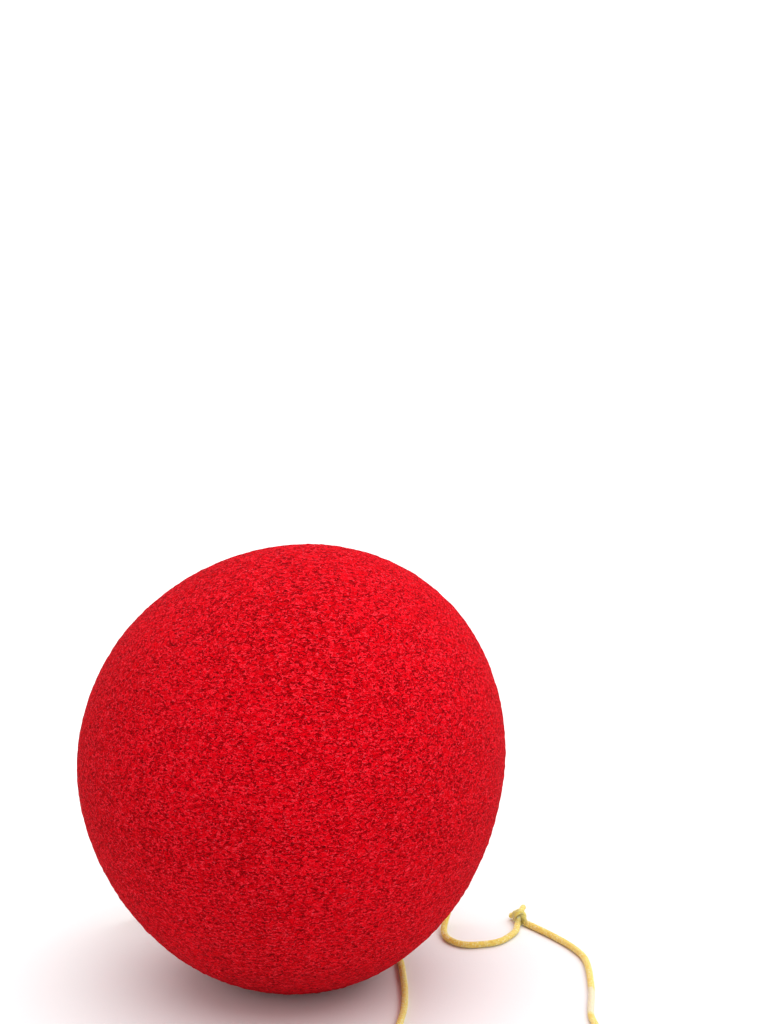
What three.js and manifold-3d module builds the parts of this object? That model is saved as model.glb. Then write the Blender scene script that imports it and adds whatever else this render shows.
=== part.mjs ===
// A clown nose: a red foam ball with a pocket for the nose, threaded on a loop of thin elastic.
// Millimetres, +Z up. It lies on a flat surface at z = 0 with its round front towards -Y and its
// pocket towards +Y. The origin is on that surface, under the middle of the ball's box.
import * as THREE from "three";
import { mergeVertices } from "three/addons/utils/BufferGeometryUtils.js";
import Module from "manifold-3d";

// Foam ball: an ellipsoid that leans a little, with a soft three-sided swell from shaping.
const BALL_WIDTH = 61.8;
const BALL_HEIGHT = 65.8;
const BALL_DEPTH = 62.4;
const BALL_LEAN = 15; // degrees that its long axis leans from upright towards +X
const SWELL_HEIGHT = 0.55; // how far each of the three swells stands out
const SWELL_TURN = 44; // degrees from +X up to the first swell, seen from the front
const SWELLS = 3;
const BALL_FINENESS = 13; // splits of each edge of the starting icosahedron
const REST_RADIUS = 7; // the patch of foam that the ball's own weight presses flat

// Pocket for the wearer's nose: an almond-shaped hollow in the back.
const POCKET_WIDTH = 14;
const POCKET_HEIGHT = 28;
const POCKET_DEPTH = 24;
const POCKET_SIDES = 32;
const POCKET_RINGS = 20;

// Elastic: a round cord through a bore that crosses the back of the ball under the pocket.
const ELASTIC_DIAMETER = 1.0;
const ELASTIC_SIDES = 8;
const STEPS_PER_SPAN = 2; // tube sections between one route point and the next
const BORE_CLEARANCE = 0.3; // all round the elastic
const BORE_SIDES = 12;
const BORE_BACK = 13; // the bore behind the ball's middle
const BORE_RAISE = 16; // the bore above the surface

// Knot: both ends of the elastic tied together, with two short tails.
const KNOT_WRAPS = 3;
const KNOT_SQUEEZE = 0.6; // between neighbouring cords' middles, as a share of the loose cord
const KNOT_X = 35.0;
const KNOT_Y = 17.4;
const KNOT_HEADING = 100; // degrees from +X of the way from its strands to its tails
const KNOT_GAP = 0.4; // between the knot and each end of the elastic
const WRAP_SIDES = 24;
const TAILS = [
  // turn: degrees from the knot's heading, in the plane of the surface
  { turn: -35, rise: 14, length: 2.3 },
  { turn: 40, rise: 4, length: 1.5 },
];

const FOAM_RED = 0xd80a1c;
const ELASTIC_YELLOW = 0xe9c558;

const ELASTIC_RADIUS = ELASTIC_DIAMETER / 2;
const WRAP_PITCH = KNOT_SQUEEZE * ELASTIC_DIAMETER;
const WRAP_RADIUS = WRAP_PITCH; // the wraps lie as close to the strands they hold
const KNOT_RADIUS = WRAP_RADIUS + ELASTIC_RADIUS;
const KNOT_CORE_RADIUS = WRAP_RADIUS + ELASTIC_RADIUS / 2;
const KNOT_LENGTH = (KNOT_WRAPS - 1) * WRAP_PITCH + ELASTIC_DIAMETER;
const LIE = ELASTIC_RADIUS; // the elastic's middle where it lies on the surface

const wasm = await Module();
wasm.setup();

/** The closed solid that a geometry's triangles bound. */
function solid(geometry) {
  const bare = geometry.clone();
  bare.deleteAttribute("normal");
  bare.deleteAttribute("uv");
  const merged = mergeVertices(bare, 1e-4);
  return new wasm.Manifold(
    new wasm.Mesh({
      numProp: 3,
      vertProperties: new Float32Array(merged.attributes.position.array),
      triVerts: new Uint32Array(merged.index.array),
    }),
  );
}

/** The geometry that a solid's triangles give. */
function geometryOf(body) {
  const mesh = body.getMesh();
  const geometry = new THREE.BufferGeometry();
  geometry.setAttribute("position", new THREE.BufferAttribute(mesh.vertProperties, 3));
  geometry.setIndex(new THREE.BufferAttribute(mesh.triVerts, 1));
  geometry.computeVertexNormals();
  return geometry;
}

/** A named mesh of its own material. */
function piece(name, geometry, colour, roughness) {
  const material = new THREE.MeshStandardMaterial({ color: colour, roughness, metalness: 0 });
  const mesh = new THREE.Mesh(geometry, material);
  mesh.name = name;
  return mesh;
}

/** How far a direction's point stands out from the plain ellipsoid. */
function swell(direction) {
  const across = Math.hypot(direction.x, direction.z);
  const turn = Math.atan2(direction.z, direction.x) - THREE.MathUtils.degToRad(SWELL_TURN);
  return SWELL_HEIGHT * across ** SWELLS * Math.cos(SWELLS * turn);
}

/** The whole ball round its own middle, before anything is cut from it. */
function ballForm() {
  const form = new THREE.IcosahedronGeometry(1, BALL_FINENESS);
  const position = form.attributes.position;
  const lean = new THREE.Matrix4().makeRotationY(THREE.MathUtils.degToRad(BALL_LEAN));
  const level = lean.clone().invert();
  for (let i = 0; i < position.count; i++) {
    const direction = new THREE.Vector3().fromBufferAttribute(position, i).normalize();
    const along = direction.clone().applyMatrix4(level);
    const reach = 1 / Math.hypot(
      along.x / (BALL_WIDTH / 2),
      along.y / (BALL_DEPTH / 2),
      along.z / (BALL_HEIGHT / 2),
    );
    direction.multiplyScalar(reach + swell(direction));
    position.setXYZ(i, direction.x, direction.y, direction.z);
  }
  return form;
}

/** Moves a solid over the origin and down until its pressed patch is level with the surface. */
function seat(body) {
  const { min, max } = body.boundingBox();
  const radius = BALL_HEIGHT / 2;
  const pressed = radius - Math.sqrt(radius ** 2 - REST_RADIUS ** 2);
  return body.translate([-(min[0] + max[0]) / 2, -(min[1] + max[1]) / 2, -min[2] - pressed]);
}

/** What the surface under the ball presses away. */
function underSurface() {
  const side = 2 * BALL_WIDTH;
  return new THREE.BoxGeometry(side, side, BALL_HEIGHT).translate(0, 0, -BALL_HEIGHT / 2);
}

/** The pocket's hollow, centred on the back of the whole ball. */
function pocketForm() {
  return new THREE.SphereGeometry(1, POCKET_SIDES, POCKET_RINGS)
    .scale(POCKET_WIDTH / 2, POCKET_DEPTH, POCKET_HEIGHT / 2)
    .translate(0, BALL_DEPTH / 2, 0);
}

/** The bore for the elastic, right through the ball along X. */
function boreForm() {
  // A many-sided bore is narrowest at the middle of its flats, which keep the clearance.
  const radius = (ELASTIC_RADIUS + BORE_CLEARANCE) / Math.cos(Math.PI / BORE_SIDES);
  return new THREE.CylinderGeometry(radius, radius, 2 * BALL_WIDTH, BORE_SIDES)
    .rotateZ(Math.PI / 2)
    .translate(0, BORE_BACK, BORE_RAISE);
}

function foamBall() {
  const hollowed = solid(ballForm()).subtract(solid(pocketForm()));
  const body = seat(hollowed).subtract(solid(underSurface())).subtract(solid(boreForm()));
  return piece("foam_ball", geometryOf(body), FOAM_RED, 0.95);
}

/** A point of the knot's own frame: along its heading, to its left, and up. */
function fromKnot(along, left, up) {
  const heading = THREE.MathUtils.degToRad(KNOT_HEADING);
  return new THREE.Vector3(
    KNOT_X + along * Math.cos(heading) - left * Math.sin(heading),
    KNOT_Y + along * Math.sin(heading) + left * Math.cos(heading),
    KNOT_RADIUS + up,
  );
}

/** A rod of the elastic's cord between two points. */
function rod(from, to, radius) {
  const way = to.clone().sub(from);
  const turn = new THREE.Quaternion().setFromUnitVectors(
    new THREE.Vector3(0, 1, 0),
    way.clone().normalize(),
  );
  return new THREE.CylinderGeometry(radius, radius, way.length(), ELASTIC_SIDES)
    .translate(0, way.length() / 2, 0)
    .applyQuaternion(turn)
    .translate(from.x, from.y, from.z);
}

/** One wrap of the knot: a ring of cord round the knot's axis. */
function wrap(along) {
  const centre = fromKnot(along, 0, 0);
  return new THREE.TorusGeometry(WRAP_RADIUS, ELASTIC_RADIUS, ELASTIC_SIDES, WRAP_SIDES)
    .rotateX(Math.PI / 2)
    .rotateZ(THREE.MathUtils.degToRad(KNOT_HEADING - 90))
    .translate(centre.x, centre.y, centre.z);
}

function elasticKnot() {
  const half = KNOT_LENGTH / 2;
  let body = solid(rod(fromKnot(-half, 0, 0), fromKnot(half, 0, 0), KNOT_CORE_RADIUS));
  for (let i = 0; i < KNOT_WRAPS; i++) {
    body = body.add(solid(wrap((i - (KNOT_WRAPS - 1) / 2) * WRAP_PITCH)));
  }
  for (const tail of TAILS) {
    const turn = THREE.MathUtils.degToRad(tail.turn);
    const rise = THREE.MathUtils.degToRad(tail.rise);
    const tip = half + tail.length * Math.cos(turn);
    const end = fromKnot(tip, tail.length * Math.sin(turn), tail.length * Math.sin(rise) - LIE);
    body = body.add(solid(rod(fromKnot(0, 0, 0), end, ELASTIC_RADIUS)));
  }
  return piece("elastic_knot", geometryOf(body), ELASTIC_YELLOW, 0.7);
}

/** The two ends of the elastic, side by side in front of the knot. */
function knotEntry(left) {
  const beside = left * (ELASTIC_RADIUS + KNOT_GAP / 2);
  return fromKnot(-KNOT_LENGTH / 2 - KNOT_GAP, beside, LIE - KNOT_RADIUS);
}

// The elastic's route, chosen by hand: from the knot under the right of the ball, up behind it,
// through the bore, down behind its left, round under the ball and out in a loose bight in front,
// and back past the right of the ball to the knot.
const ROUTE = [
  knotEntry(1),
  [34.0, 13.0, LIE],
  [31.4, 9.4, LIE],
  [28.9, 8.4, LIE],
  [26.0, 8.3, LIE],
  [23.8, 10.2, LIE],
  [23.1, 13.4, LIE],
  [23.9, 17.2, 2.0],
  [25.4, 19.2, 5.3],
  [27.0, 18.4, 9.8],
  [27.4, 15.4, 13.8],
  [25.4, 13.1, 15.8],
  [21.0, BORE_BACK, BORE_RAISE],
  [-21.0, BORE_BACK, BORE_RAISE],
  [-25.4, 13.1, 15.8],
  [-27.4, 15.4, 13.8],
  [-26.6, 18.8, 9.0],
  [-23.6, 21.4, 4.0],
  [-17.6, 23.0, 0.8],
  [0.0, 20.8, LIE],
  [9.4, 16.0, LIE],
  [15.0, 7.6, LIE],
  [16.2, -4.0, LIE],
  [15.4, -17.0, LIE],
  [11.2, -31.0, LIE],
  [0.6, -47.0, LIE],
  [-6.0, -63.0, LIE],
  [0.6, -77.6, LIE],
  [14.6, -83.4, LIE],
  [28.4, -78.4, LIE],
  [37.0, -66.0, LIE],
  [41.2, -42.0, LIE],
  [42.8, -21.5, LIE],
  [42.5, -17.2, LIE],
  [43.5, -8.0, LIE],
  [43.6, 2.6, LIE],
  [42.2, 6.7, LIE],
  [40.0, 10.5, LIE],
  [36.8, 15.0, LIE],
  knotEntry(-1),
];

/**
 * A smooth route that the surface stops from sinking. Its sections follow its own points, so that
 * short spans get short steps.
 */
class ElasticRoute extends THREE.CatmullRomCurve3 {
  getPoint(share, target = new THREE.Vector3()) {
    super.getPoint(share, target);
    target.z = Math.max(target.z, LIE);
    return target;
  }

  getPointAt(share, target) {
    return this.getPoint(share, target);
  }

  getTangentAt(share, target) {
    return this.getTangent(share, target);
  }

  getSpacedPoints(sections) {
    return this.getPoints(sections);
  }
}

function elastic() {
  const points = ROUTE.map((p) => (p.isVector3 ? p : new THREE.Vector3(...p)));
  const section = new THREE.Shape();
  for (let i = 0; i < ELASTIC_SIDES; i++) {
    const turn = ((i + 0.5) * 2 * Math.PI) / ELASTIC_SIDES;
    const x = ELASTIC_RADIUS * Math.cos(turn);
    const y = ELASTIC_RADIUS * Math.sin(turn);
    if (i === 0) section.moveTo(x, y);
    else section.lineTo(x, y);
  }
  section.closePath();
  const tube = new THREE.ExtrudeGeometry(section, {
    extrudePath: new ElasticRoute(points, false, "centripetal"),
    steps: STEPS_PER_SPAN * (points.length - 1),
  });
  return piece("elastic", tube, ELASTIC_YELLOW, 0.7);
}

const clownNose = new THREE.Group();
clownNose.add(foamBall(), elastic(), elasticKnot());

export default clownNose;
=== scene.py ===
"""A red foam clown nose threaded on a knotted loop of thin yellow elastic, lying on a table."""

import logging
import math
from collections.abc import Callable
from dataclasses import dataclass
from enum import Enum
from typing import ClassVar

import bmesh
import bpy
import numpy as np
from mathutils import Matrix, Vector, geometry, noise


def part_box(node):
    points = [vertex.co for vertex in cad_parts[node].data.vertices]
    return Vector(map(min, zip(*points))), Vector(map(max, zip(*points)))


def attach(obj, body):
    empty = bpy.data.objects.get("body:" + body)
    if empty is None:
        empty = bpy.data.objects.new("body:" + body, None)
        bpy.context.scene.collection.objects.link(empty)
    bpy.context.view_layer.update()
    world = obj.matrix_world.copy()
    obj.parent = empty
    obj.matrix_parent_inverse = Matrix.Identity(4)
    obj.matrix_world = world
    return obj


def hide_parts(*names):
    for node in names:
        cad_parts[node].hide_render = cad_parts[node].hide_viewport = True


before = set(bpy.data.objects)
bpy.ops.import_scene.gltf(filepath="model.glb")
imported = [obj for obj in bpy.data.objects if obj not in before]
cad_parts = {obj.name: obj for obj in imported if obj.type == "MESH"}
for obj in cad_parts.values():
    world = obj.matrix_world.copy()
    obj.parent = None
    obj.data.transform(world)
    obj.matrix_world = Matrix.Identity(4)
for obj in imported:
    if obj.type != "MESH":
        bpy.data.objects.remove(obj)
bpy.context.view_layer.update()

LOG = logging.getLogger("clown_nose")
MM = 0.001
BODY = "root"
Colour = tuple[float, float, float, float]
Point = tuple[float, float, float]
Socket = bpy.types.NodeSocket


class Slot(Enum):
    """Names for the material slots."""

    FOAM = "foam"
    ELASTIC = "elastic"


class Node(Enum):
    """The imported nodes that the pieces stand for."""

    BALL = "foam_ball"
    CORD = "elastic"
    KNOT = "elastic_knot"


# Camera


@dataclass(frozen=True)
class StudioCamera:
    """A long lens that looks down on the ball, left of and below the picture's middle."""

    picture: tuple[int, int] = (768, 1024)
    lens: float = 100.0
    sensor: float = 36.0
    subject: Point = (0.0, 0.0, 0.0326)
    subject_pixel: tuple[float, float] = (291.6, 765.6)
    elevation: float = 20.0
    distance: float = 0.4157
    clip: tuple[float, float] = (0.01, 50.0)

    def build(self) -> bpy.types.Object:
        """Makes the camera and puts the subject at its pixel.

        Returns:
            The camera's object.
        """
        width, height = self.picture
        focal = self.lens / self.sensor * max(width, height)
        across, down = self.subject_pixel
        ray = Vector((across - width / 2, height / 2 - down, -focal)).normalized()
        rise = math.sin(math.radians(self.elevation))
        pitch = math.asin(rise / math.hypot(ray.y, ray.z)) - math.atan2(-ray.y, -ray.z)
        ahead = -ray.z * math.cos(pitch) + ray.y * math.sin(pitch)
        yaw = math.atan2(-ray.x, ahead)
        turn = Matrix.Rotation(-yaw, 3, "Z") @ Matrix.Rotation(math.pi / 2 - pitch, 3, "X")
        data = bpy.data.cameras.new("studio_camera")
        data.lens = self.lens
        data.sensor_width = self.sensor
        data.clip_start, data.clip_end = self.clip
        camera = bpy.data.objects.new("studio_camera", data)
        place = Vector(self.subject) - turn @ ray * self.distance
        camera.matrix_world = Matrix.Translation(place) @ turn.to_4x4()
        bpy.context.scene.collection.objects.link(camera)
        bpy.context.scene.camera = camera
        return camera


# Node graphs


class Graph:
    """Adds nodes to one node tree and joins them."""

    def __init__(self, tree: bpy.types.NodeTree) -> None:
        """Keeps the tree.

        Args:
            tree: The node tree to add to.
        """
        self.tree = tree

    def node(
        self, kind: str, inputs: dict[int | str, object] | None = None, **settings: object
    ) -> bpy.types.Node:
        """Adds one node.

        Args:
            kind: The node's type name.
            inputs: Values or sockets, by the name or number of the input they go to.
            settings: The node's own properties.

        Returns:
            The new node.
        """
        made = self.tree.nodes.new(kind)
        for name, value in settings.items():
            setattr(made, name, value)
        for key, value in (inputs or {}).items():
            self.feed(value, made.inputs[key])
        return made

    def feed(self, value: object, socket: Socket) -> None:
        """Gives an input its value, or joins another node's output to it.

        Args:
            value: A value or an output.
            socket: The input.
        """
        if isinstance(value, Socket):
            self.tree.links.new(value, socket)
        else:
            socket.default_value = value

    def group(self, tree: bpy.types.NodeTree, inputs: dict[str, object]) -> bpy.types.NodeOutputs:
        """Places a shared group.

        Args:
            tree: The group.
            inputs: Values or sockets by input name.

        Returns:
            The placed group's outputs.
        """
        return self.node("ShaderNodeGroup", dict(inputs), node_tree=tree).outputs

    def math(self, operation: str, first: object, second: object = 0.0) -> Socket:
        """Adds a Math node.

        Args:
            operation: The operation's name.
            first: The first value or socket.
            second: The second value or socket.

        Returns:
            Its output.
        """
        made = self.node("ShaderNodeMath", {0: first, 1: second}, operation=operation)
        return made.outputs[0]

    def step(self, value: Socket, low: object, high: object) -> Socket:
        """Adds a smooth step from 0 at low to 1 at high.

        Args:
            value: The value to map.
            low: Where the step starts.
            high: Where the step ends.

        Returns:
            The stepped value.
        """
        ends = {"Value": value, "From Min": low, "From Max": high}
        made = self.node("ShaderNodeMapRange", ends, interpolation_type="SMOOTHSTEP")
        return made.outputs["Result"]

    def mix(self, share: object, first: object, second: object) -> Socket:
        """Adds a colour Mix node.

        Args:
            share: How much of the second colour shows.
            first: The first colour or socket.
            second: The second colour or socket.

        Returns:
            The mixed colour.
        """
        made = self.node("ShaderNodeMix", {0: share, 6: first, 7: second}, data_type="RGBA")
        return made.outputs[2]

    def noise(self, vector: Socket, scale: object, detail: float, warp: float = 0.0) -> Socket:
        """Adds a Noise Texture node.

        Args:
            vector: The coordinates that it reads.
            scale: How fine it is.
            detail: Its octaves.
            warp: Its distortion.

        Returns:
            Its value.
        """
        inputs = {"Vector": vector, "Scale": scale, "Detail": detail, "Distortion": warp}
        return self.node("ShaderNodeTexNoise", inputs).outputs["Fac"]

    def bump(
        self, shader: bpy.types.NodeInputs, height: Socket, strength: float, depth: float
    ) -> None:
        """Gives a shader fine relief.

        Args:
            shader: The shader's inputs.
            height: The relief's height.
            strength: How much of it shows.
            depth: How far apart heights 0 and 1 lie.
        """
        relief = {"Strength": strength, "Distance": depth, "Height": height}
        self.feed(self.node("ShaderNodeBump", relief).outputs["Normal"], shader["Normal"])


VECTOR = ("NodeSocketVector", None)


def value_socket(value: float) -> tuple[str, float]:
    """The type and default of a group's float input."""
    return "NodeSocketFloat", value


def colour_socket(value: Colour) -> tuple[str, Colour]:
    """The type and default of a group's colour input."""
    return "NodeSocketColor", value


def new_group(
    name: str, inputs: dict[str, tuple[str, object]], outputs: dict[str, str]
) -> tuple[Graph, bpy.types.NodeOutputs, bpy.types.NodeInputs]:
    """Starts a shader node group with named sockets.

    Args:
        name: The group's name.
        inputs: The type and default value of each input, by name.
        outputs: The type of each output, by name.

    Returns:
        The group's graph, what it is given, and the inputs of its result.
    """
    tree = bpy.data.node_groups.new(name, "ShaderNodeTree")
    for label, (kind, value) in inputs.items():
        socket = tree.interface.new_socket(label, in_out="INPUT", socket_type=kind)
        if value is not None:
            socket.default_value = value
    for label, kind in outputs.items():
        tree.interface.new_socket(label, in_out="OUTPUT", socket_type=kind)
    graph = Graph(tree)
    given = graph.node("NodeGroupInput").outputs
    return graph, given, graph.node("NodeGroupOutput").inputs


@dataclass(frozen=True)
class Grain:
    """How a fibre grain is drawn: how fine it is, and how wide its lines are."""

    scale: float
    width: float = 0.06


@dataclass(frozen=True)
class Flecks:
    """How spots are scattered: how fine their cells are, their size, and the share of cells."""

    scale: float
    size: float
    share: float


class SharedEffects:
    """The effects that several materials share, each a node group that is built once."""

    DRIFT_EDGES = (0.34, 0.66)
    FLECK_CORE = 0.4  # of a spot's size
    FIBRE_WARP = 0.7
    FIBRE_LEVELS = (0.44, 0.56)  # of the noise, along which hollows and fibres run
    CROWD_FINENESS = 0.45  # of the fibres' own
    CROWD_EDGES = (0.20, 0.48)

    def __init__(self) -> None:
        """Builds the groups."""
        self.drift = self.build_drift()
        self.fleck = self.build_fleck()
        self.grain = self.build_grain()

    def lay_drift(
        self, graph: Graph, where: Socket, scale: float, tones: tuple[Colour, Colour]
    ) -> Socket:
        """Lays slow variation between two tones.

        Args:
            graph: The material's graph.
            where: The coordinates.
            scale: How fine it is.
            tones: Both tones.

        Returns:
            The colour.
        """
        inputs = {"Vector": where, "Scale": scale, "Low": tones[0], "High": tones[1]}
        return graph.group(self.drift, inputs)["Color"]

    def lay_flecks(self, graph: Graph, where: Socket, flecks: Flecks) -> Socket:
        """Scatters spots.

        Args:
            graph: The material's graph.
            where: The coordinates.
            flecks: The spots.

        Returns:
            The spots' mask.
        """
        spots = {"Scale": flecks.scale, "Size": flecks.size, "Share": flecks.share}
        return graph.group(self.fleck, {"Vector": where, **spots})["Mask"]

    def lay_grain(self, graph: Graph, where: Socket, grain: Grain) -> bpy.types.NodeOutputs:
        """Lays a fibre grain.

        Args:
            graph: The material's graph.
            where: The coordinates.
            grain: The grain.

        Returns:
            The group's outputs.
        """
        inputs = {"Vector": where, "Scale": grain.scale, "Width": grain.width}
        return graph.group(self.grain, inputs)

    @staticmethod
    def build_drift() -> bpy.types.NodeTree:
        """Builds slow variation between two colours.

        Returns:
            The group, with outputs Color and Mask.
        """
        inputs = {
            "Vector": VECTOR,
            "Scale": value_socket(60.0),
            "Low": colour_socket((0.2, 0.2, 0.2, 1.0)),
            "High": colour_socket((0.8, 0.8, 0.8, 1.0)),
        }
        outputs = {"Color": "NodeSocketColor", "Mask": "NodeSocketFloat"}
        graph, given, result = new_group("tone_drift", inputs, outputs)
        drift = graph.noise(given["Vector"], given["Scale"], detail=3.0)
        mask = graph.step(drift, *SharedEffects.DRIFT_EDGES)
        graph.feed(graph.mix(mask, given["Low"], given["High"]), result["Color"])
        graph.feed(mask, result["Mask"])
        return graph.tree

    @staticmethod
    def build_fleck() -> bpy.types.NodeTree:
        """Builds scattered spots.

        Returns:
            The group, whose output Mask is 1 in a spot and 0 outside it.
        """
        inputs = {
            "Vector": VECTOR,
            "Scale": value_socket(300.0),
            "Size": value_socket(0.2),
            "Share": value_socket(0.3),
        }
        graph, given, result = new_group("scattered_fleck", inputs, {"Mask": "NodeSocketFloat"})
        placed = {"Vector": given["Vector"], "Scale": given["Scale"]}
        cells = graph.node("ShaderNodeTexVoronoi", placed).outputs
        core = graph.math("MULTIPLY", given["Size"], SharedEffects.FLECK_CORE)
        spot = graph.step(cells["Distance"], given["Size"], core)
        chance = graph.node("ShaderNodeSeparateColor", {"Color": cells["Color"]}).outputs["Red"]
        kept = graph.math("LESS_THAN", chance, given["Share"])
        graph.feed(graph.math("MULTIPLY", spot, kept), result["Mask"])
        return graph.tree

    @staticmethod
    def build_grain() -> bpy.types.NodeTree:
        """Builds a dense grain of short curved fibres, each with a hollow beside it.

        Returns:
            The group, with outputs Hollows and Fibres, which are 1 in them, and Height.
        """
        inputs = {
            "Vector": VECTOR,
            "Scale": value_socket(1000.0),
            "Width": value_socket(0.06),
        }
        outputs = dict.fromkeys(("Hollows", "Fibres", "Height"), "NodeSocketFloat")
        graph, given, result = new_group("fibre_grain", inputs, outputs)
        effects = SharedEffects
        waves = graph.noise(given["Vector"], given["Scale"], detail=1.0, warp=effects.FIBRE_WARP)
        coarser = graph.math("MULTIPLY", given["Scale"], effects.CROWD_FINENESS)
        crowding = graph.noise(given["Vector"], coarser, detail=2.0)
        crowd = graph.step(crowding, *effects.CROWD_EDGES)
        lines = []
        for level in effects.FIBRE_LEVELS:
            away = graph.math("ABSOLUTE", graph.math("SUBTRACT", waves, level))
            line = graph.step(away, given["Width"], 0.0)
            lines.append(graph.math("MULTIPLY", line, crowd))
        hollows, fibres = lines
        graph.feed(hollows, result["Hollows"])
        graph.feed(fibres, result["Fibres"])
        graph.feed(graph.math("SUBTRACT", fibres, hollows), result["Height"])
        return graph.tree


def new_material(name: str) -> tuple[bpy.types.Material, Graph, bpy.types.NodeInputs]:
    """Starts a material with one Principled shader.

    Args:
        name: The material's name.

    Returns:
        The material, its graph and its shader's inputs.
    """
    material = bpy.data.materials.new(name)
    material.use_nodes = True
    tree = material.node_tree
    return material, Graph(tree), tree.nodes["Principled BSDF"].inputs


def set_surface(shader: bpy.types.NodeInputs, values: dict[str, object]) -> None:
    """Sets a shader's uniform values, by the names of its inputs."""
    for name, value in values.items():
        shader[name].default_value = value


# Finishes


@dataclass(frozen=True)
class SpongeFinish:
    """Matte red sponge: a dense crumb of fibres and hollows, open cells and a few pits, with
    painted shade in the hollows, cells and pits, painted highlights on the fibres and painted
    glints as fine specks.
    """

    deep: Colour = (0.51, 0.0003, 0.0024, 1.0)
    bright: Colour = (0.61, 0.0005, 0.0042, 1.0)
    # painted shade: the dark tone laid in the crumb's hollows, the open cells and the pits
    hollow_shade: Colour = (0.10, 0.0002, 0.0008, 1.0)
    # painted highlight: the light tone laid on the raised fibres of the crumb and the down
    fibre_highlight: Colour = (0.71, 0.0016, 0.0110, 1.0)
    # painted glints: the pale pink tone of the scattered specks
    speck_glint: Colour = (0.78, 0.060, 0.090, 1.0)
    glint: Colour = (0.84, 0.110, 0.150, 1.0)
    drift_scale: float = 45.0
    stretch: Point = (0.75, 1.0, 1.55)
    crumb: Grain = Grain(1850.0, 0.080)
    down: Grain = Grain(3600.0, 0.10)
    cells: Flecks = Flecks(1300.0, 0.36, 0.40)
    pits: Flecks = Flecks(105.0, 0.05, 0.4)
    specks: Flecks = Flecks(1500.0, 0.26, 0.16)
    pit_depth: float = 3.0  # of a cell's
    sinking: float = 0.6  # of a cell, in fibre heights
    bump_strength: float = 0.5
    bump_depth: float = 0.12 * MM

    SURFACE: ClassVar[dict[str, object]] = {
        "Roughness": 0.95,
        "Specular IOR Level": 0.02,
        "Sheen Weight": 0.06,
        "Sheen Roughness": 0.6,
        "Sheen Tint": (1.0, 0.10, 0.14, 1.0),
    }

    def build(self, shared: SharedEffects) -> bpy.types.Material:
        """Makes the material.

        Args:
            shared: The shared node groups.

        Returns:
            The material.
        """
        material, graph, shader = new_material("red_sponge")
        where = graph.node("ShaderNodeTexCoord").outputs["Object"]
        drawn = {"Vector": where, "Scale": self.stretch}
        place = graph.node("ShaderNodeMapping", drawn).outputs["Vector"]

        colour = shared.lay_drift(graph, where, self.drift_scale, (self.deep, self.bright))
        crumb = shared.lay_grain(graph, place, self.crumb)
        down = shared.lay_grain(graph, where, self.down)
        cells, pits, specks = (
            shared.lay_flecks(graph, place, flecks)
            for flecks in (self.cells, self.pits, self.specks)
        )
        crossings = graph.math("MULTIPLY", down["Fibres"], crumb["Fibres"])
        # Each layer's mask, how much of it shows, and its tone; the fibre tone is painted
        # highlight, the hollow tone painted shade, the speck and crossing tones painted glints.
        layers = (
            (down["Fibres"], 0.50, self.fibre_highlight),
            (down["Hollows"], 0.50, self.hollow_shade),
            (crumb["Fibres"], 0.85, self.fibre_highlight),
            (crumb["Hollows"], 0.90, self.hollow_shade),
            (cells, 0.55, self.hollow_shade),
            (pits, 0.85, self.hollow_shade),
            (specks, 0.50, self.speck_glint),
            (crossings, 0.32, self.glint),
        )
        for mask, share, tone in layers:
            colour = graph.mix(graph.math("MULTIPLY", mask, share), colour, tone)
        graph.feed(colour, shader["Base Color"])

        sunk = graph.math("ADD", cells, graph.math("MULTIPLY", pits, self.pit_depth))
        lowered = graph.math("MULTIPLY", sunk, self.sinking)
        height = graph.math("SUBTRACT", crumb["Height"], lowered)
        graph.bump(shader, height, self.bump_strength, self.bump_depth)
        set_surface(shader, self.SURFACE)
        return material


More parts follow.
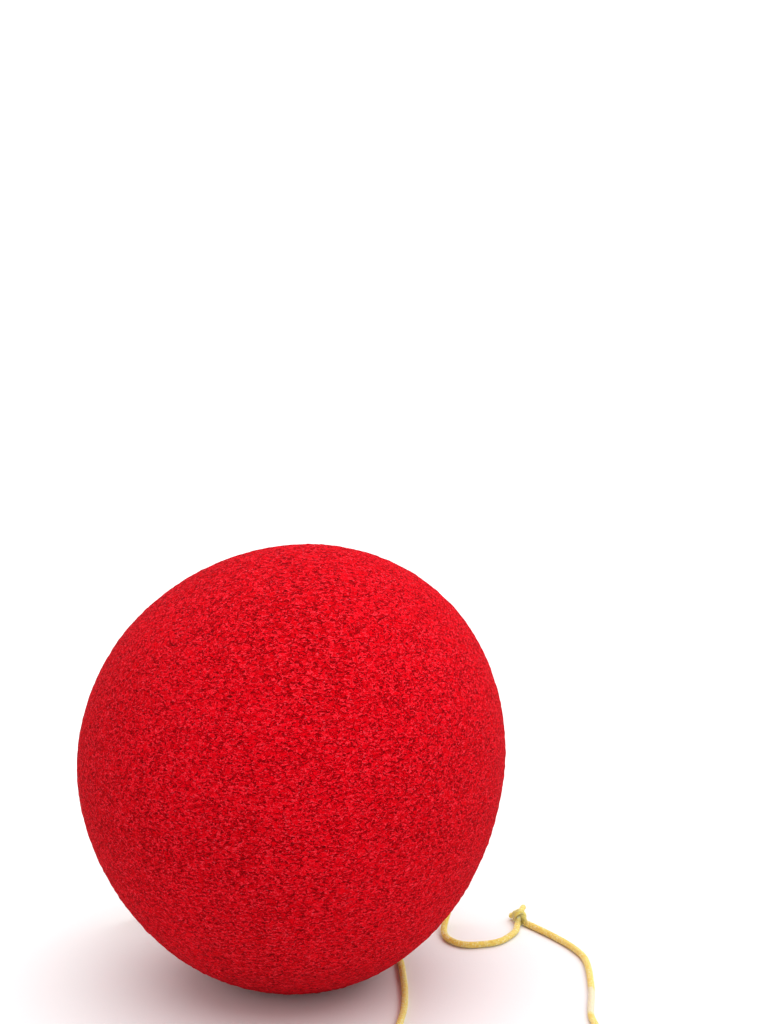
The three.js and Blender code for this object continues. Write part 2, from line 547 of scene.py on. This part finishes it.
@dataclass(frozen=True)
class CoveredElasticFinish:
    """Yellow thread braided over rubber, gold where it is close and cream where it is stretched,
    with painted shade in the gaps between threads and painted highlights as pale spots.
    """

    gold: Colour = (0.78, 0.570, 0.110, 1.0)
    straw: Colour = (0.81, 0.65, 0.19, 1.0)
    cream: Colour = (0.73, 0.66, 0.46, 1.0)
    # painted shade: the darker gold laid in the gaps between the braid's threads
    gap_shade: Colour = (0.73, 0.47, 0.06, 1.0)
    # painted highlights: the pale spots scattered over the threads
    thread_highlight: Colour = (0.86, 0.78, 0.45, 1.0)
    drift_scale: float = 1500.0
    thread_edges: tuple[float, float] = (-0.5, 0.7)  # of the threads' waves, from gap to thread
    bare_scale: float = 2200.0
    bare_ravel: float = 2.5
    bare_edges: tuple[float, float] = (1.62, 1.88)
    gap_scale: float = 1900.0
    gap_edges: tuple[float, float] = (0.42, 0.60)
    gap_share: float = 0.55
    highlight_spots: Flecks = Flecks(2800.0, 0.5, 0.45)
    highlight_share: float = 0.8
    nap: Grain = Grain(5000.0, 0.05)
    nap_height: float = 0.6  # of a thread's
    bump_strength: float = 0.6
    bump_depth: float = 0.06 * MM

    SURFACE: ClassVar[dict[str, object]] = {
        "Roughness": 0.7,
        "Specular IOR Level": 0.25,
        "Subsurface Weight": 0.9,
        "Subsurface Radius": (1.0, 0.9, 0.6),
        "Subsurface Scale": 1.3 * MM,
        "Sheen Weight": 0.25,
        "Sheen Roughness": 0.4,
    }

    def threads(self, graph: Graph) -> Socket:
        """Draws the braid's threads from the strand's map.

        Args:
            graph: The material's graph.

        Returns:
            1 on a thread and 0 in the gap between threads.
        """
        along_round = graph.node("ShaderNodeUVMap", uv_map=Strand.MAP).outputs["UV"]
        parts = graph.node("ShaderNodeSeparateXYZ", {"Vector": along_round}).outputs
        along = graph.math("MULTIPLY", parts["X"], math.tau * MM / Strand.pitch)
        turned = graph.math("MULTIPLY", parts["Y"], math.tau * Strand.threads)
        lays = [
            graph.math("COSINE", graph.math(way, turned, along)) for way in ("ADD", "SUBTRACT")
        ]
        return graph.step(graph.math("MAXIMUM", *lays), *self.thread_edges)

    def build(self, shared: SharedEffects) -> bpy.types.Material:
        """Makes the material.

        Args:
            shared: The shared node groups.

        Returns:
            The material.
        """
        material, graph, shader = new_material("covered_elastic")
        where = graph.node("ShaderNodeTexCoord").outputs["Object"]
        closed = self.threads(graph)
        colour = shared.lay_drift(graph, where, self.drift_scale, (self.gold, self.straw))

        drawn = graph.node("ShaderNodeAttribute", attribute_name=Strand.BARE).outputs["Fac"]
        ragged = graph.noise(where, self.bare_scale, detail=2.0)
        ravelled = graph.math("ADD", drawn, graph.math("MULTIPLY", ragged, self.bare_ravel))
        bare = graph.step(ravelled, *self.bare_edges)
        colour = graph.mix(bare, colour, self.cream)

        uneven = graph.step(graph.noise(where, self.gap_scale, detail=2.0), *self.gap_edges)
        covered = graph.math("MULTIPLY", uneven, graph.math("SUBTRACT", 1.0, bare))
        # painted shade in the gaps between threads, where the cover is not bare
        gaps = graph.math("MULTIPLY", graph.math("SUBTRACT", 1.0, closed), covered)
        colour = graph.mix(graph.math("MULTIPLY", gaps, self.gap_share), colour, self.gap_shade)

        # painted highlights as pale spots on the threads
        highlight_spots = shared.lay_flecks(graph, where, self.highlight_spots)
        colour = graph.mix(graph.math("MULTIPLY", highlight_spots, self.highlight_share), colour, self.thread_highlight)
        graph.feed(colour, shader["Base Color"])

        nap = shared.lay_grain(graph, where, self.nap)["Height"]
        height = graph.math("ADD", closed, graph.math("MULTIPLY", nap, self.nap_height))
        graph.bump(shader, height, self.bump_strength, self.bump_depth)
        set_surface(shader, self.SURFACE)
        return material


@dataclass(frozen=True)
class TableFinish:
    """Matte white board with the faintest tooth."""

    shade: Colour = (0.860, 0.860, 0.866, 1.0)
    light: Colour = (0.875, 0.875, 0.881, 1.0)
    drift_scale: float = 9.0
    tooth: Grain = Grain(900.0)
    bump_strength: float = 0.08
    bump_depth: float = 0.05 * MM

    SURFACE: ClassVar[dict[str, object]] = {"Roughness": 0.8, "Specular IOR Level": 0.1}

    def build(self, shared: SharedEffects) -> bpy.types.Material:
        """Makes the material.

        Args:
            shared: The shared node groups.

        Returns:
            The material.
        """
        material, graph, shader = new_material("white_board")
        where = graph.node("ShaderNodeTexCoord").outputs["Object"]
        colour = shared.lay_drift(graph, where, self.drift_scale, (self.shade, self.light))
        graph.feed(colour, shader["Base Color"])
        tooth = shared.lay_grain(graph, where, self.tooth)["Height"]
        graph.bump(shader, tooth, self.bump_strength, self.bump_depth)
        set_surface(shader, self.SURFACE)
        return material


# Meshes


def add_piece(name: str, body: bmesh.types.BMesh, material: bpy.types.Material) -> bpy.types.Object:
    """Makes a smooth-shaded object at the origin from a bmesh, and frees the bmesh.

    Args:
        name: The piece's name.
        body: Its mesh.
        material: Its material.

    Returns:
        The object.
    """
    for face in body.faces:
        face.smooth = True
    mesh = bpy.data.meshes.new(name)
    body.to_mesh(mesh)
    body.free()
    mesh.materials.append(material)
    piece = bpy.data.objects.new(name, mesh)
    bpy.context.scene.collection.objects.link(piece)
    return piece


def settle(piece: bpy.types.Object, node: Node) -> None:
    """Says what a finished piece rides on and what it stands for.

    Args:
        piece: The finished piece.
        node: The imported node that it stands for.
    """
    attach(piece, BODY)
    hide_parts(node.value)
    LOG.info("%s: %d faces, for %s", piece.name, len(piece.data.polygons), node.value)


BEZIER_POINTS = 48


def smooth_route(points: list[Vector], lowest: float, step: float) -> list[Vector]:
    """Runs one smooth curve through the given points and spaces points evenly along it.

    Args:
        points: The points that it passes through.
        lowest: The height that it doesn't go under.
        step: About how far apart the new points are.

    Returns:
        The evenly spaced points, with the first and the last of the given ones.
    """
    ends = [2 * points[0] - points[1], *points, 2 * points[-1] - points[-2]]
    dense: list[Vector] = []
    for before, start, end, after in zip(ends, ends[1:], ends[2:], ends[3:]):
        gaps = [(b - a).length ** 0.5 for a, b in ((before, start), (start, end), (end, after))]
        slopes = [
            ((b - a) / s - (c - a) / (s + t) + (c - b) / t) * gaps[1]
            for a, b, c, s, t in ((before, start, end, *gaps[:2]), (start, end, after, *gaps[1:]))
        ]
        handles = (start, start + slopes[0] / 3, end - slopes[1] / 3, end)
        curve = geometry.interpolate_bezier(*handles, BEZIER_POINTS)
        dense += curve if end is points[-1] else curve[:-1]
    line = np.array(dense, float)
    line[:, 2] = line[:, 2].clip(lowest)
    way = np.concatenate(([0.0], np.cumsum(np.linalg.norm(np.diff(line, axis=0), axis=1))))
    at = np.linspace(0.0, way[-1], round(way[-1] / step) + 1)
    return [Vector(p) for p in np.stack([np.interp(at, way, c) for c in line.T], 1)]


@dataclass
class Strand:
    """A round braided cord along evenly spaced points, with a map in millimetres and turns."""

    points: list[Vector]
    radius: float
    sides: int = 20
    threads: float = 4.0
    pitch: float = 0.9 * MM
    relief: float = 0.022 * MM
    slant: float = 0.7 * MM
    slant_turn: float = 0.6
    weld: float = 0.001 * MM
    bare: Callable[[float], float] | None = None

    MAP = "along_round"
    BARE = "bare"

    def length(self) -> float:
        """The length of the strand's middle line."""
        return sum((b - a).length for a, b in zip(self.points, self.points[1:]))

    def frames(self) -> list[tuple[Vector, Vector]]:
        """Carries a sideways and an upward direction along the strand without twist.

        Returns:
            Both directions at each point.
        """
        ways = [b - a for a, b in zip(self.points, self.points[1:])]
        tangents = [a + b for a, b in zip([ways[0], *ways], [*ways, ways[-1]])]
        up = Vector((0.0, 0.0, 1.0))
        carried = []
        for tangent in tangents:
            side = tangent.cross(up).normalized()
            up = side.cross(tangent).normalized()
            carried.append((side, up))
        return carried

    def add_to(self, body: bmesh.types.BMesh) -> None:
        """Rolls a grid into the strand's skin and closes its ends.

        Args:
            body: The mesh to add to.
        """
        chart = body.loops.layers.uv.get(self.MAP) or body.loops.layers.uv.new(self.MAP)
        bared = body.verts.layers.float.get(self.BARE) or body.verts.layers.float.new(self.BARE)
        count = len(self.points) - 1
        stride = self.length() / count
        sized = {"x_segments": count, "y_segments": self.sides, "size": 0.5}
        verts = bmesh.ops.create_grid(body, **sized)["verts"]
        for face in {face for vert in verts for face in vert.link_faces}:
            for loop in face.loops:
                spot = loop.vert.co
                loop[chart].uv = ((spot.x + 0.5) * count * stride / MM, spot.y + 0.5)
        frames = self.frames()
        for vert in verts:
            section = round((vert.co.x + 0.5) * count)
            turn = math.tau * (vert.co.y + 0.5)
            along = math.tau * section * stride / self.pitch
            lays = (math.cos(self.threads * turn + way * along) for way in (1, -1))
            reach = self.radius - self.relief * (1.0 - max(lays))
            side, up = frames[section]
            vert.co = self.points[section] + (side * math.cos(turn) + up * math.sin(turn)) * reach
            if self.bare:
                skew = math.sin(turn + self.slant_turn) * self.slant
                vert[bared] = self.bare(section * stride + skew)
        bmesh.ops.remove_doubles(body, verts=verts, dist=self.weld)
        rims = [edge for edge in body.edges if edge.is_boundary]
        bmesh.ops.holes_fill(body, edges=rims)
        bmesh.ops.recalc_face_normals(body, faces=body.faces)


# The elastic


@dataclass
class ElasticLoop:
    """The thin covered elastic: from the knot, through the ball, and back in a loose bight."""

    diameter: float = 1.0 * MM
    step: float = 0.13 * MM
    stride: int = 8  # of the points, from one to the next
    wander: float = 0.9 * MM
    wander_length: float = 2.5 * MM
    fade: float = 1.2 * MM
    bore_mouth: Point = (0.0231, 0.013, 0.016)
    # Where the cover is drawn thin, in metres along the cord: the middle and half its length.
    thin_places: tuple[tuple[float, float], ...] = (
        (0.0340, 0.0030),
        (0.1180, 0.0060),
        (0.1440, 0.0035),
        (0.2050, 0.0050),
        (0.2510, 0.0040),
        (0.2960, 0.0060),
        (0.3460, 0.0042),
    )
    route: tuple[Point, ...] = (
        (0.034571, 0.015801, 0.00050),
        (0.0340, 0.0130, 0.0005),
        (0.0314, 0.0094, 0.0005),
        (0.0289, 0.0084, 0.0005),
        (0.0260, 0.0083, 0.0005),
        (0.0238, 0.0102, 0.0005),
        (0.0231, 0.0134, 0.0005),
        (0.0239, 0.0172, 0.0020),
        (0.0254, 0.0192, 0.0053),
        (0.0270, 0.0184, 0.0098),
        (0.0274, 0.0154, 0.0138),
        (0.0254, 0.0131, 0.0158),
        (0.0210, 0.0130, 0.0160),
        (-0.0210, 0.0130, 0.0160),
        (-0.0254, 0.0131, 0.0158),
        (-0.0274, 0.0154, 0.0138),
        (-0.0266, 0.0188, 0.0090),
        (-0.0236, 0.0214, 0.0040),
        (-0.0176, 0.0230, 0.0008),
        (0.0000, 0.0208, 0.0005),
        (0.0094, 0.0160, 0.0005),
        (0.0150, 0.0076, 0.0005),
        (0.0162, -0.0040, 0.0005),
        (0.0154, -0.0170, 0.0005),
        (0.0112, -0.0310, 0.0005),
        (0.0006, -0.0470, 0.0005),
        (-0.0060, -0.0630, 0.0005),
        (0.0006, -0.0776, 0.0005),
        (0.0146, -0.0834, 0.0005),
        (0.0284, -0.0784, 0.0005),
        (0.0370, -0.0660, 0.0005),
        (0.0412, -0.0420, 0.0005),
        (0.0428, -0.0215, 0.0005),
        (0.0425, -0.0172, 0.0005),
        (0.0435, -0.0080, 0.0005),
        (0.0436, 0.0026, 0.0005),
        (0.0422, 0.0067, 0.0005),
        (0.0400, 0.0105, 0.0005),
        (0.0368, 0.0150, 0.0005),
        (0.035950, 0.016044, 0.00050),
    )

    def bareness(self, along: float) -> float:
        """How thin the cover is drawn at a place along the cord, from 0 to 1.

        Args:
            along: Metres from the cord's start.

        Returns:
            The bareness, with a slightly uneven edge.
        """
        wander = noise.noise(Vector((along / self.wander_length, 0.0, 0.0))) * self.wander
        reach = max(half - abs(along + wander - middle) for middle, half in self.thin_places)
        return min(max(reach / self.fade + 0.5, 0.0), 1.0)

    def build(self, material: bpy.types.Material) -> tuple[bpy.types.Object, list[Vector]]:
        """Makes the cord.

        Args:
            material: The covered elastic.

        Returns:
            The cord's object and the points of its middle line.
        """
        radius = self.diameter / 2
        points = smooth_route([Vector(p) for p in self.route], radius, self.step)
        strand = Strand(points, radius, bare=self.bareness)
        body = bmesh.new()
        strand.add_to(body)
        cord = add_piece("elastic_cord", body, material)
        settle(cord, Node.CORD)
        LOG.info("elastic_cord: %.1f mm long", strand.length() / MM)
        return cord, points


@dataclass
class ElasticKnot:
    """The overhand knot that closes the loop: its turns, the strands in them, two cut tails."""

    place: Point = (0.0350, 0.0174, 0.0011)
    heading: float = 100.0
    turns: float = 2.5
    pitch: float = 0.60 * MM
    turn_radius: float = 0.61 * MM
    cord_radius: float = 0.455 * MM
    step: float = 0.10 * MM
    sides: int = 16
    relief: float = 0.018 * MM
    turn_points: int = 12  # in each turn
    first_turn: float = -150.0
    crowding: float = 0.82  # of the turns' pitch
    bulge: float = 0.07  # of the turns' radius, halfway along
    lean: float = 0.20
    # In the knot's own frame, in millimetres: both ends of the coil, and the held strands.
    tucks: tuple[Point, Point] = ((-0.92, -0.14, -0.23), (0.92, 0.09, -0.18))
    left: tuple[Point, ...] = (
        (-1.9, 0.70, -0.60),
        (-1.4, 0.65, -0.55),
        (-0.65, 0.31, -0.09),
        (0.65, -0.28, 0.09),
        (1.4, -0.60, 0.23),
        (3.0, -1.40, 0.20),
    )
    right: tuple[Point, ...] = (
        (-1.9, -0.70, -0.60),
        (-1.4, -0.65, -0.55),
        (-0.65, -0.31, 0.0),
        (0.55, 0.28, -0.09),
        (1.2, 0.55, -0.32),
        (1.9, 0.85, -0.55),
    )

    def at(self, along: float, left: float, up: float) -> Vector:
        """A point of the knot's own frame, given in millimetres.

        Args:
            along: The way from its strands to its tails.
            left: To the left of that way.
            up: Above its middle.

        Returns:
            The point in metres in the row frame.
        """
        turn = Matrix.Rotation(math.radians(self.heading), 3, "Z")
        return Vector(self.place) + turn @ Vector((along, left, up)) * MM

    def strand(self, points: list[Vector], radius: float, body: bmesh.types.BMesh) -> None:
        """Adds one strand through the given points.

        Args:
            points: Its given points.
            radius: Its radius.
            body: The mesh to add to.
        """
        route = smooth_route(points, radius, self.step)
        Strand(route, radius, sides=self.sides, relief=self.relief).add_to(body)

    def coil(self) -> list[Vector]:
        """The turns round both strands, whose ends tuck in under them.

        Returns:
            The coil's points.
        """
        count = round(self.turns * self.turn_points)
        points = [self.at(*self.tucks[0])]
        for i in range(count + 1):
            share = i / count
            turn = math.radians(self.first_turn) + math.tau * self.turns * share
            along = (share - 0.5) * self.pitch / MM * self.turns * self.crowding
            swell = 1.0 + self.bulge * math.sin(math.pi * share)
            reach = self.turn_radius / MM * swell
            lean = self.lean * math.sin(turn)
            points.append(self.at(along + lean, reach * math.cos(turn), reach * math.sin(turn)))
        points.append(self.at(*self.tucks[1]))
        return points

    def build(self, material: bpy.types.Material) -> bpy.types.Object:
        """Makes the knot.

        Args:
            material: The covered elastic.

        Returns:
            The knot's object.
        """
        body = bmesh.new()
        for points in (self.left, self.right):
            self.strand([self.at(*p) for p in points], self.cord_radius, body)
        self.strand(self.coil(), self.cord_radius, body)
        knot = add_piece("elastic_overhand", body, material)
        settle(knot, Node.KNOT)
        return knot


# The ball


@dataclass(frozen=True)
class Crumb:
    """The sponge's relief, in metres: how long and how high each of its forms is."""

    lumps: tuple[float, float] = (13.0 * MM, 0.13 * MM)
    ridges: tuple[float, float] = (1.35 * MM, 0.16 * MM)
    ridge_level: float = 0.2
    grit: tuple[float, float] = (0.85 * MM, 0.05 * MM)
    pits: tuple[float, float] = (7.5 * MM, 0.45 * MM)
    pit_radius: float = 0.10  # of the pits' spacing
    pit_miss: float = 0.35  # the share of places that have none
    pit_seed: float = 40.0
    dimple: tuple[float, float] = (4.0 * MM, 0.45 * MM)
    mouth_reach: float = 2.0  # how much faster the dimple fades along the bore


@dataclass
class FoamBall:
    """The sponge ball: moulded form, nose pocket, bore for the elastic and an open crumb."""

    width: float = 61.8 * MM
    height: float = 65.8 * MM
    depth: float = 62.4 * MM
    lean: float = 15.0
    swell: float = 0.55 * MM
    swell_turn: float = 44.0
    swells: int = 3
    pocket: Point = (7.0 * MM, 24.0 * MM, 14.0 * MM)
    bore_radius: float = 0.82 * MM
    bore_back: float = 13.0 * MM
    bore_raise: float = 16.0 * MM
    bore_mouth: float = 23.1 * MM
    voxel: float = 0.40 * MM
    softening: int = 4
    softness: float = 0.5
    crumb: Crumb = Crumb()

    def whole(self) -> bmesh.types.BMesh:
        """Makes the ball round its own middle, before anything is cut from it.

        Returns:
            The ball's mesh.
        """
        body = bmesh.new()
        bmesh.ops.create_icosphere(body, subdivisions=6, radius=1.0)
        level = Matrix.Rotation(math.radians(-self.lean), 3, "Y")
        halves = (self.width / 2, self.depth / 2, self.height / 2)
        for vert in body.verts:
            way = vert.co.normalized()
            along = level @ way
            reach = 1.0 / math.hypot(*(a / b for a, b in zip(along, halves)))
            turn = math.atan2(way.z, way.x) - math.radians(self.swell_turn)
            rim = math.hypot(way.x, way.z) ** self.swells
            bulge = self.swell * rim * math.cos(self.swells * turn)
            vert.co = way * (reach + bulge)
        return body

    def seat(self, body: bmesh.types.BMesh) -> Vector:
        """Moves the ball to its packed place and presses its underside level.

        Args:
            body: The ball's mesh.

        Returns:
            How far it moved.
        """
        low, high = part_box(Node.BALL.value)
        corners = np.array([vert.co for vert in body.verts])
        least, most = corners.min(0), corners.max(0)
        middle = (low.x + high.x - least[0] - most[0]) / 2
        shift = Vector((middle, low.y - least[1], high.z - most[2]))
        bmesh.ops.translate(body, verts=body.verts, vec=shift)
        under = {"plane_co": (0.0, 0.0, 0.0), "plane_no": (0.0, 0.0, -1.0)}
        parts = body.verts[:] + body.edges[:] + body.faces[:]
        bmesh.ops.bisect_plane(body, geom=parts, clear_outer=True, **under)
        bmesh.ops.holes_fill(body, edges=[edge for edge in body.edges if edge.is_boundary])
        return shift

    def hollows(self, shift: Vector) -> bmesh.types.BMesh:
        """Makes what is cut from the ball: the nose pocket and the elastic's bore.

        Args:
            shift: How far the seated ball has moved.

        Returns:
            Both hollows in one mesh.
        """
        tool = bmesh.new()
        placed = Matrix.Translation(shift + Vector((0.0, self.depth / 2, 0.0)))
        shape = Matrix.Diagonal((*self.pocket, 1.0))
        bmesh.ops.create_uvsphere(
            tool, u_segments=64, v_segments=40, radius=1.0, matrix=placed @ shape
        )
        across = Matrix.Translation((0.0, self.bore_back, self.bore_raise))
        bmesh.ops.create_cone(
            tool,
            cap_ends=True,
            segments=24,
            radius1=self.bore_radius,
            radius2=self.bore_radius,
            depth=2 * self.width,
            matrix=across @ Matrix.Rotation(math.pi / 2, 4, "Y"),
        )
        return tool

    def relief(self, spot: Vector) -> float:
        """How far the crumb stands out or sinks at a place on the skin.

        Args:
            spot: The place.

        Returns:
            Metres along the skin's normal.
        """
        crumb = self.crumb
        lumps = noise.noise(spot / crumb.lumps[0]) * crumb.lumps[1]
        ridge = (abs(noise.noise(spot / crumb.ridges[0])) - crumb.ridge_level) * crumb.ridges[1]
        grit = noise.noise(spot / crumb.grit[0]) * crumb.grit[1]
        near, centres = noise.voronoi(spot / crumb.pits[0])
        pitted = noise.cell(centres[0] * crumb.pit_seed) > crumb.pit_miss
        pit = max(0.0, 1.0 - near[0] / crumb.pit_radius) ** 0.5 if pitted else 0.0
        off_bore = math.hypot(spot.y - self.bore_back, spot.z - self.bore_raise)
        inward = max(0.0, self.bore_mouth - abs(spot.x)) * crumb.mouth_reach
        calm = min(off_bore / crumb.dimple[0], 1.0)
        dimple = max(0.0, 1.0 - math.hypot(off_bore, inward) / crumb.dimple[0]) ** 2
        raised = lumps + ridge + grit - pit * crumb.pits[1]
        return raised * calm - dimple * crumb.dimple[1]

    def build(self, material: bpy.types.Material) -> bpy.types.Object:
        """Makes the ball.

        Args:
            material: The sponge.

        Returns:
            The ball's object.
        """
        solid = self.whole()
        shift = self.seat(solid)
        block = add_piece("foam_block", solid, material)
        cutter = add_piece("foam_cutter", self.hollows(shift), material)
        cut = block.modifiers.new("cut", "BOOLEAN")
        cut.object = cutter
        cut.operation = "DIFFERENCE"
        cut.solver = "EXACT"
        even = block.modifiers.new("even", "REMESH")
        even.mode = "VOXEL"
        even.voxel_size = self.voxel
        shaped = block.evaluated_get(bpy.context.evaluated_depsgraph_get())
        body = bmesh.new()
        body.from_mesh(shaped.to_mesh())
        shaped.to_mesh_clear()
        for helper in (block, cutter):
            bpy.data.meshes.remove(helper.data)
        self.crumble(body)
        ball = add_piece("foam_nose", body, material)
        settle(ball, Node.BALL)
        return ball

    def crumble(self, body: bmesh.types.BMesh) -> None:
        """Softens the cut edges and raises the crumb.

        Args:
            body: The evenly meshed ball.
        """
        axes = dict.fromkeys(("use_axis_x", "use_axis_y", "use_axis_z"), True)
        for _ in range(self.softening):
            bmesh.ops.smooth_vert(body, verts=body.verts, factor=self.softness, **axes)
        body.normal_update()
        for vert in body.verts:
            vert.co += vert.normal * self.relief(vert.co)
            vert.co.z = max(vert.co.z, 0.0)
        bmesh.ops.recalc_face_normals(body, faces=body.faces)


# The studio


@dataclass
class Studio:
    """A white board under bright, even light, and a soft fill from the right on the ball."""

    half_side: float = 6.0
    board_cells: int = 8
    board_drop: float = 0.02 * MM
    sun_power: float = 2.3
    sun_spread: float = 95.0
    sun_tilt: tuple[float, float] = (-6.0, 9.0)
    sky: float = 0.82
    backdrop: float = 1.0
    fill_power: float = 1.2
    fill_spread: float = 50.0
    fill_from: Point = (0.55, -0.25, 0.80)

    def lamp(self, name: str, power: float, spread: float) -> bpy.types.Object:
        """Adds a sun that shines straight down.

        Args:
            name: Its name.
            power: Its strength.
            spread: How broad it is, in degrees.

        Returns:
            Its object.
        """
        light = bpy.data.lights.new(name, "SUN")
        light.energy = power
        light.angle = math.radians(spread)
        sun = bpy.data.objects.new(name, light)
        bpy.context.scene.collection.objects.link(sun)
        return sun

    def build(self, material: bpy.types.Material, ball: bpy.types.Object) -> None:
        """Makes the board and the lights.

        Args:
            material: The board's finish.
            ball: The piece that the fill lights.
        """
        body = bmesh.new()
        cells = {"x_segments": self.board_cells, "y_segments": self.board_cells}
        bmesh.ops.create_grid(body, size=self.half_side, **cells)
        bmesh.ops.translate(body, verts=body.verts, vec=(0.0, 0.0, -self.board_drop))
        board = add_piece("white_board", body, material)

        sun = self.lamp("soft_sun", self.sun_power, self.sun_spread)
        tip, roll = (math.radians(angle) for angle in self.sun_tilt)
        sun.rotation_euler = (tip, roll, 0.0)
        fill = self.lamp("side_fill", self.fill_power, self.fill_spread)
        fill.rotation_euler = Vector(self.fill_from).to_track_quat("Z", "Y").to_euler()
        filled = bpy.data.collections.new("filled_by_side")
        filled.objects.link(ball)
        fill.light_linking.receiver_collection = filled

        world = bpy.data.worlds.new("studio_sky")
        world.use_nodes = True
        graph = Graph(world.node_tree)
        seen = graph.node("ShaderNodeLightPath").outputs["Is Camera Ray"]
        lit = graph.math("MULTIPLY", seen, self.backdrop - self.sky)
        sky = world.node_tree.nodes["Background"]
        sky.inputs["Color"].default_value = (1.0, 1.0, 1.0, 1.0)
        graph.feed(graph.math("ADD", lit, self.sky), sky.inputs["Strength"])
        bpy.context.scene.world = world
        bpy.context.scene.view_settings.view_transform = "Standard"


def main() -> None:
    """Builds the camera, the elastic, the ball and the studio."""
    logging.basicConfig(level=logging.INFO, format="%(name)s: %(message)s")
    StudioCamera().build()
    shared = SharedEffects()
    covered = CoveredElasticFinish().build(shared)
    loop = ElasticLoop()
    cord, line = loop.build(covered)
    ElasticKnot().build(covered)
    ball = FoamBall().build(SpongeFinish().build(shared))
    Studio().build(TableFinish().build(shared), ball)


if __name__ == "__main__":
    main()
